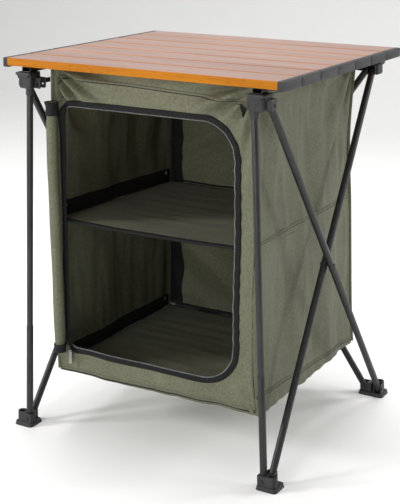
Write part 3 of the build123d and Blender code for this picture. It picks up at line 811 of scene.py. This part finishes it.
def make_back_bands():
    """The webbing down each back corner inside the back wall, a black strip of painted shadow along the
    floor's back joint and a narrower black strip along the shelf's back joint.
    """
    y = half_depth
    for side in (LEFT, RIGHT):
        x = side * (half_width - 0.017)
        route = [(x, y, floor_high.z + 0.002), (x, y, cabinet_top - 0.006)]
        name = f"back_{side_name[side]}_band"
        band = strip_on(name, "back", route, webbing_width, black_web, webbing_lift, webbing_thickness)
        if side == LEFT:
            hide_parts("back_webbing")
        settle(band, "black_webbing", *HELD["back"])
    # the floor's black strip is painted shadow for the gap where floor meets back wall; the shelf's is a
    # narrower black strip at its own joint
    for level, high, width in (("floor", floor_high.z, 0.009), ("shelf", shelf_high.z, 0.004)):
        z = high + tilt(level, y) + width / 2
        route = [(0.014 - half_width, y, z), (half_width - 0.014, y, z)]
        edge = strip_on(f"back_{level}_edge", "back", route, width, black_web, -0.0008)
        settle(edge, "black_webbing", *HELD["back"])


def make_hinge_tape():
    """The black tape that joins the rolled door to the doorway's left side."""
    x = door_left - zip_width - 0.006
    route = [(x, -half_depth, door_bottom + 0.004), (x, -half_depth, door_top - 0.004)]
    tape = strip_on("door_hinge_tape", "front", route, 0.013, zip_cloth, 0.0016)
    settle(tape, "zip_black", *HELD["front"])


def make_strap(side, end):
    """A short strap from a cabinet corner to its hub, curved a little."""
    corner = f"{end_name[end]}_{side_name[side]}"
    body = f"hub_{corner}"
    hub_low, hub_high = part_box(body)
    start = Vector((side * (half_width - 0.003), end * (half_depth + 0.0012), hub_high.z - 0.0115))
    inner_y = hub_low.y if end == BACK else hub_high.y
    finish_point = Vector((side * (half_width + 0.0115), inner_y + end * 0.0052, hub_high.z - 0.0125))
    verts, uvs = [], []
    steps = 12
    for i in range(steps + 1):
        share = i / steps
        bend = math.sin(math.pi * share)
        middle = start.lerp(finish_point, share) + Vector((side * 0.0015 * bend, 0, -0.0012 * bend))
        for up in (-0.0045, -0.0035, 0.0035, 0.0045):
            verts.append(middle + Vector((0, 0, up)))
            uvs.append((up, share * 0.03))
    strap = make_object(f"strap_{corner}", verts, grid_faces(4, steps + 1), black_web, uvs)
    thicken(strap, webbing_thickness, 0.0)
    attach(strap, body)


# ---- shelf and floor ----
def tilt(level, y):
    """The shelf and the floor hang a little lower at the back."""
    front_rise, back_drop = (0.005, 0.009) if level == "shelf" else (0.001, 0.005)
    share = 0.5 + 0.5 * y / half_depth
    return front_rise - (front_rise + back_drop) * share


def make_tray(level, low, high, sag, ripple, seed):
    """The shelf or floor: a stiffened cloth that dips and ripples between its edges."""
    columns, rows = 57, 57
    verts, uvs = [], []
    for row in range(rows):
        v = row / (rows - 1)
        for column in range(columns):
            u = column / (columns - 1)
            x, y = low.x + (high.x - low.x) * u, low.y + (high.y - low.y) * v
            free = (math.sin(math.pi * u) * math.sin(math.pi * min(1, v * 0.9 + 0.1))) ** 0.6
            dip = sag * math.sin(math.pi * u) * (1.15 - 0.5 * v)
            soft = field(x * 5, y * 8, seed) + 0.5 * (crease((x, y * 1.4, seed), 8, seed) - 0.6)
            soft += 1.1 * field(x * 4, y * 42, seed + 2)
            place = Vector((x, y, high.z - 0.0002 - dip + ripple * soft * free + tilt(level, y)))
            verts.append(place + Vector((shell_shift(place).x, 0, 0)))
            uvs.append((x, y))
    tray = make_object(level + "_cloth", verts, grid_faces(columns, rows), olive, uvs)
    thicken(tray, 0.0022)
    surface = surface_of(tray)
    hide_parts(level)
    settle(tray, "olive_cloth", level, TO_LEFT)
    return surface


def make_binding(surface):
    """Black tape folded over the front edge of the shelf."""
    over = ((0.0085, 0.0006), (0.008, 0.0014), (0.001, 0.0016), (-0.0008, 0.0008))
    under = ((-0.0008, -0.0026), (0.001, -0.0038), (0.008, -0.0036), (0.0085, -0.0028))
    margin, steps = 0.0005, 90
    length = shelf_high.x - shelf_low.x - 2 * margin
    verts, uvs = [], []
    for i in range(steps + 1):
        x = shelf_low.x + margin + length * i / steps
        z = height_on(surface, Vector((x, shelf_low.y + 0.004, shelf_high.z)))
        for inward, up in over + under:
            verts.append(Vector((x, shelf_low.y + inward, z + up)))
            uvs.append((inward, x))
    faces = grid_faces(len(over + under), steps + 1)
    binding = make_object("shelf_binding", verts, faces, zip_cloth, uvs)
    thicken(binding, 0.0006, 0.0)
    settle(binding, "black_webbing", "shelf", TO_LEFT)


# ---- rolled door ----
def roll_centre(z):
    """The roll hangs a little crooked between its two ties."""
    share = (z - roll_low.z) / (roll_high.z - roll_low.z)
    x = (roll_low.x + roll_high.x) / 2 + 0.0014 * math.sin(5.2 * share + 0.6) - 0.0008
    y = (roll_low.y + roll_high.y) / 2 + 0.0006 * math.sin(7 * share)
    return x, y


def roll_radius(z, angle):
    """The roll's outside: pulled in by its ties and creased along its length."""
    share = (z - roll_low.z) / (roll_high.z - roll_low.z)
    tied = math.exp(-(((share - 0.03) / 0.05) ** 2)) + math.exp(-(((share - 0.965) / 0.05) ** 2))
    fold = field(math.cos(angle) * 1.3, math.sin(angle) * 1.3, z * 9)
    fine = field(math.cos(angle) * 4, math.sin(angle) * 4, z * 30)
    return 0.0122 * (1 - 0.1 * tied + 0.09 * fold + 0.03 * fine)


def make_roll():
    """The door cloth rolled up in a spiral, its last turn joined to the doorway's edge."""
    turns, per_turn, rows, margin = 3.2, 26, 110, 0.001
    columns = int(turns * per_turn)
    length = roll_high.z - roll_low.z - 2 * margin
    verts, uvs = [], []
    for row in range(rows):
        z = roll_low.z + margin + length * row / (rows - 1)
        cx, cy = roll_centre(z)
        travelled = 0.0
        for column in range(columns + 1):
            share = column / columns
            angle = math.pi / 2 + (1 - share) * turns * 2 * math.pi
            radius = roll_radius(z, angle) * (0.28 + 0.72 * share)
            verts.append(Vector((cx + radius * math.cos(angle), cy + radius * math.sin(angle), z)))
            travelled += radius * 2 * math.pi / per_turn
            uvs.append((travelled, z))
        end = verts[-1].copy()
        joined = Vector((door_left - zip_width + 0.0015, -half_depth - 0.0012, z))
        for share in (0.35, 0.7, 1.0):
            verts.append(end.lerp(joined, share))
            uvs.append((travelled + 0.004 * share, z))
    roll = make_object("rolled_door_cloth", verts, grid_faces(columns + 4, rows), olive, uvs)
    thicken(roll, 0.0011, 0.0)
    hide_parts("door_roll")
    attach(roll, HELD["front"][0])


def make_ties():
    """Black tape wound round both ends of the roll, with a flared cup at the top."""
    low_tie = (roll_low.z, roll_low.z + 0.017, 0.0)
    high_tie = (roll_high.z - 0.026, roll_high.z, 0.0022)
    steps, sides = 9, 36
    parts = []
    for low, high, flare in (low_tie, high_tie):
        verts = []
        for i in range(steps + 1):
            share = i / steps
            z = low + (high - low) * share
            cx, cy = roll_centre(z)
            radius = 0.0118 + 0.0004 * math.sin(share * 9)
            cup = flare * max(0.0, share - 0.72) / 0.28
            for k in range(sides):
                angle = 2 * math.pi * k / sides
                out = radius + (cup if math.cos(angle) < 0.2 else 0.0)
                verts.append(Vector((cx + out * math.cos(angle), cy + out * math.sin(angle), z)))
        parts.append((verts, grid_faces(sides, steps + 1, wrap=True)))
    verts, faces = merge_parts(parts)
    uvs = [(v.z, math.atan2(v.y - roll_low.y, v.x - roll_low.x) * 0.012) for v in verts]
    ties = make_object("door_ties", verts, faces, black_web, uvs)
    thicken(ties, 0.0014, 0.0)
    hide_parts("door_roll_tapes")
    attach(ties, HELD["front"][0])


# ---- corners of the cabinet ----
def make_corner_welt(side, end):
    """The seam allowance standing out along an upright edge of the cabinet."""
    outward = Vector((side, end, 0)).normalized()
    steps, margin = 120, 0.004
    length = cabinet_top - cabinet_bottom - 2 * margin
    verts, uvs = [], []
    for i in range(steps + 1):
        z = cabinet_bottom + margin + length * i / steps
        corner = Vector((side * (half_width - wall_inset), end * (half_depth - wall_inset), z))
        corner += shell_shift(corner)
        flap = field(z * 11, side, end)
        turn = Vector((-outward.y, outward.x, 0)) * 0.35 * flap
        direction = (outward + turn).normalized()
        for reach in (-0.001, 0.0012, 0.0034, 0.0052 + 0.0008 * flap):
            verts.append(corner + direction * reach)
            uvs.append((reach, z))
    name = f"welt_{end_name[end]}_{side_name[side]}"
    welt = make_object(name, verts, grid_faces(4, steps + 1), olive, uvs)
    thicken(welt, 0.0016, 0.0)
    settle(welt, "olive_cloth", *HELD[end_name[end]])


# ---- build the soft cabinet ----
walls = {"front": make_front_wall()}
for wall in ("left", "right", "back"):
    walls[wall] = make_flat_wall(wall)
door_area = (door_right - door_left) * (door_top - door_bottom)
door_area -= 2 * (1 - math.pi / 4) * (door_corner[LEFT] ** 2 + door_corner[RIGHT] ** 2)
finish_wall("front", walls["front"])
for wall in ("back", "left", "right"):
    finish_wall(wall, walls[wall])

make_zip()
make_hinge_tape()
shelf_surface = make_tray("shelf", shelf_low, shelf_high, sag=0.003, ripple=0.0022, seed=5.0)
make_tray("floor", floor_low, floor_high, sag=0.002, ripple=0.0048, seed=6.0)
make_binding(shelf_surface)
for side in (LEFT, RIGHT):
    make_side_bands(side)
    for end in (FRONT, BACK):
        make_strap(side, end)
make_back_bands()
make_roll()
make_ties()

seam_z, hem_z, top_z = shelf_high.z + 0.014, cabinet_bottom + 0.023, cabinet_top - 0.018
for side, wall in side_name.items():
    x, y = side * half_width, half_depth - 0.005
    make_seam(f"{wall}_seam_shelf", wall, [(x, -y, seam_z), (x, y, seam_z)], rows=1)
    make_seam(f"{wall}_seam_top", wall, [(x, -y, top_z), (x, y, top_z)])
    make_seam(f"{wall}_seam_hem", wall, [(x, -y, hem_z + 0.013), (x, y, hem_z - 0.011)])
x, y = half_width - 0.005, half_depth
make_seam("back_seam_hem", "back", [(-x, y, hem_z), (x, y, hem_z)])
make_seam("back_seam_top", "back", [(-x, y, top_z), (x, y, top_z)])
low, high = cabinet_bottom, cabinet_top
front_seams = {
    "hem": [(-x, -y, low + 0.006), (x, -y, low + 0.011)],
    "top": [(-x + 0.018, -y, high - 0.015), (0, -y, high - 0.021), (x, -y, high - 0.032)],
    "left": [(door_left - 0.010, -y, door_top + 0.012), (door_left - 0.012, -y, high - 0.015)],
    "right": [(x, -y, low + 0.011), (x + 0.001, -y, 0.3), (x, -y, 0.5), (x, -y, high - 0.03)],
}
for label, route in front_seams.items():
    # the painted shadow strip is wider beside the front hem and the front's right edge
    shade_strip_width = 0.0034 if label in ("hem", "right") else 0.002
    rows = 2 if label in ("hem", "top") else 1
    make_seam(f"front_seam_{label}", "front", route, shade_strip_width, rows)
for side in (LEFT, RIGHT):
    for end in (FRONT, BACK):
        make_corner_welt(side, end)

# ---- rigid parts ----
top_facing = 0.985  # a slat's face is laminate where its normal points up at least this much
washer_area = 2.5e-5  # a bright rivet's faces above this area, in square metres, are bare steel
for name in frame["nodes"]:
    slot = slot_of(name)
    if name.startswith(("hub_", "foot_")) and not name.endswith("rivets"):
        refined(name, [black_plastic], bevel=0.0008)
    elif name == "rail_brackets":
        refined(name, [black_plastic], bevel=0.0006)
    elif name.endswith("_fittings"):
        refined(name, [black_plastic], bevel=0.0009)
    elif name.startswith("slat_"):
        slat = refined(name, [laminate, edge_wood], bevel=0.0004)
        for polygon in slat.data.polygons:
            polygon.material_index = 0 if polygon.normal.z > top_facing else 1
    elif name == "top_rails":
        refined(name, [blackened], bevel=0.0005)
    elif slot == "frame_tube":
        refined(name, [tube_paint], bevel=0.0004)
    elif slot == "rivet_steel":
        rivets = refined(name, [blackened, steel], bevel=0.0003)
        bright = name.startswith(("foot", "left", "right"))
        for polygon in rivets.data.polygons:
            polygon.material_index = int(bright and polygon.area > washer_area)
    elif name == "zip_slider":
        refined(name, [gunmetal], bevel=0.0004)
    elif name == "zip_pull":
        refined(name, [pull_plastic], bevel=0.0003)

# ---- studio ----
camera_place = Vector((1.1893, -2.0849, 1.0777))
camera_yaw, camera_pitch, camera_roll = math.radians(-30.08), math.radians(-16.785), math.radians(0.206)
focal_pixels, picture_height, sensor = 1196.04, 504, 36


def make_camera():
    """The photo's camera, as solved from the table's corners, the poles and the feet."""
    level = math.cos(camera_pitch)
    forward = Vector((math.sin(camera_yaw) * level, math.cos(camera_yaw) * level, math.sin(camera_pitch)))
    right = forward.cross(UP).normalized()
    up = right.cross(forward)
    turned = right * math.cos(camera_roll) + up * math.sin(camera_roll)
    raised = up * math.cos(camera_roll) - right * math.sin(camera_roll)
    data = bpy.data.cameras.new("camera")
    data.lens, data.sensor_width = focal_pixels / picture_height * sensor, sensor
    data.clip_start, data.clip_end = 0.1, 50
    camera = bpy.data.objects.new("camera", data)
    camera.matrix_world = Matrix((turned, raised, -forward)).transposed().to_4x4()
    camera.location = camera_place
    bpy.context.scene.collection.objects.link(camera)
    bpy.context.scene.camera = camera


def area_light(name, place, aim, size, power):
    """A round lamp turned towards its aim."""
    data = bpy.data.lights.new(name, "AREA")
    data.shape, data.size, data.energy = "DISK", size, power
    lamp = bpy.data.objects.new(name, data)
    lamp.location = place
    lamp.rotation_mode = "QUATERNION"
    lamp.rotation_quaternion = (Vector(aim) - Vector(place)).to_track_quat("-Z", "Y")
    bpy.context.scene.collection.objects.link(lamp)


def make_studio():
    """A pale floor that curves up into a backdrop, soft lamps and a bright even sky."""
    curve_start, curve_radius, half_floor = 3.0, 2, 8
    profile = [(-6.0, 0.0), (curve_start, 0.0)]
    for angle in np.linspace(0.1, math.pi / 2, 14):
        along, up = math.sin(angle), 1 - math.cos(angle)
        profile.append((curve_start + curve_radius * along, curve_radius * up))
    profile.append((curve_start + curve_radius, 6.0))
    verts, faces = [], []
    for y, z in profile:
        verts += [Vector((-half_floor, y, z)), Vector((half_floor, y, z))]
    for i in range(len(profile) - 1):
        faces.append((2 * i, 2 * i + 1, 2 * i + 3, 2 * i + 2))
    pale = Finish("studio_floor", 0.75, specular=0.2)
    pale.colour(pale.blend(pale.noise(2), (0.94, 0.94, 0.94), (0.96, 0.96, 0.96)))
    floor = make_object("studio_floor", verts, faces, pale.material)
    world = bpy.data.worlds.new("sky")
    world.use_nodes = True
    sky = {"Color": (0.99, 0.985, 0.96, 1), "Strength": 0.5}
    set_inputs(world.node_tree.nodes["Background"], sky)
    bpy.context.scene.world = world
    area_light("key", (-2.5, -2.3, 1.7), (0, 0, 0.42), size=0.8, power=66)
    area_light("front", (0.15, -3.5, 1.15), (0, 0, 0.42), size=0.9, power=38)
    area_light("fill", (2.5, 1.9, 1.6), (0, 0, 0.4), size=1.0, power=38)
    area_light("top", (-0.3, 0.5, 3.2), (0, 0, 0.0), size=2.2, power=72)
    bpy.context.scene.view_settings.view_transform = "Standard"


make_camera()
make_studio()
